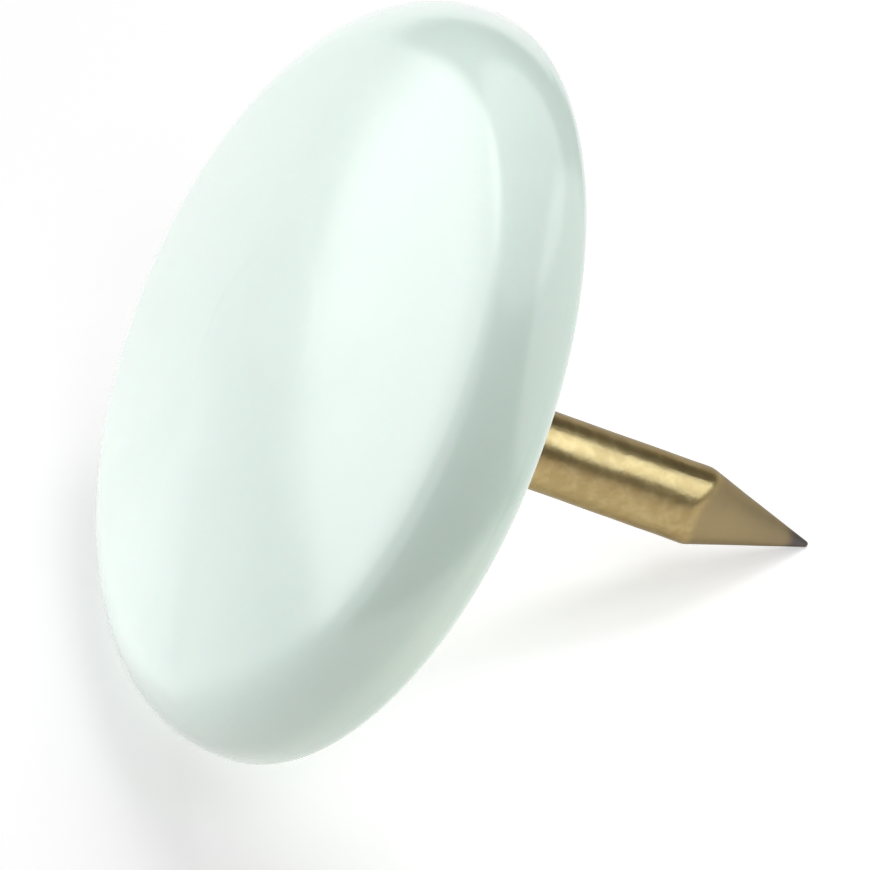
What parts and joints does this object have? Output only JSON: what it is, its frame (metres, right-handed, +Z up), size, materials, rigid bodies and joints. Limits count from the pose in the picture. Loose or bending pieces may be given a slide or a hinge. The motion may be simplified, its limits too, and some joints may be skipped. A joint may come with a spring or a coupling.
{
  "type": "push pin",
  "caption": "Low button-headed push pin: a crowned round plastic head moulded onto a short thick plated pin with a conical point, pressed into a board by thumb to hold paper.",
  "frame": {"origin": "on the surface that the tack lies on, under the middle of its box", "axes": "+Z up from that surface, the pin's tip towards +X and the head's face towards -X, +Y across the head; the pin's axis lies in the XZ plane and drops 36.25 degrees towards its tip, so that the tip and the lowest point of the rim both touch the surface"},
  "size_m": [0.0086, 0.0094, 0.0079],
  "materials": {
    "head_plastic": "smooth moulded gloss, very pale mint white",
    "pin_plating": "bright brass plating on drawn wire, worn to dark steel at the tip"
  },
  "bodies": {
    "root": {"head": "head_plastic", "pin": "pin_plating"}
  },
  "joints": []
}
